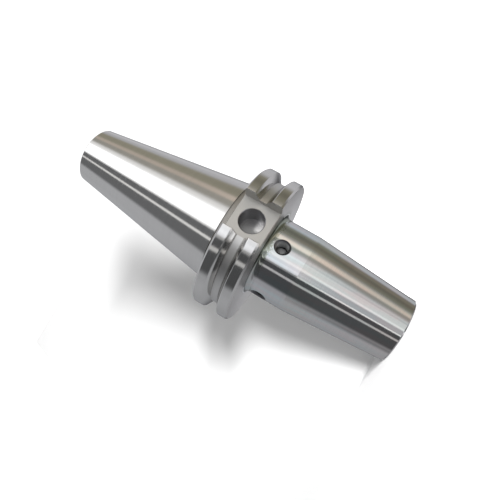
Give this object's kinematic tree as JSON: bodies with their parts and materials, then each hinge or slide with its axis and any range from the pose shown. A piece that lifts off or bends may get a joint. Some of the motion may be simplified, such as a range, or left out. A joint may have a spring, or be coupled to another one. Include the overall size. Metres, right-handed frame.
{
  "type": "shrink fit holder",
  "caption": "Turned steel tool holder with a slender heated-grip nose, a flange with gripper groove and drive slots, and a steep spindle taper.",
  "frame": {"origin": "centre of the nose face, on the tool axis", "axes": "+Z along the tool axis, from the nose up to the small end of the taper; -Y out of the drive slot that has the data hole; +X square to both"},
  "size_m": [0.0636, 0.0614, 0.1484],
  "materials": {
    "ground_steel": "hardened tool steel, fine ground and polished on the taper and nose, milled in the slots"
  },
  "bodies": {
    "root": {"holder_body": "ground_steel"}
  },
  "joints": []
}
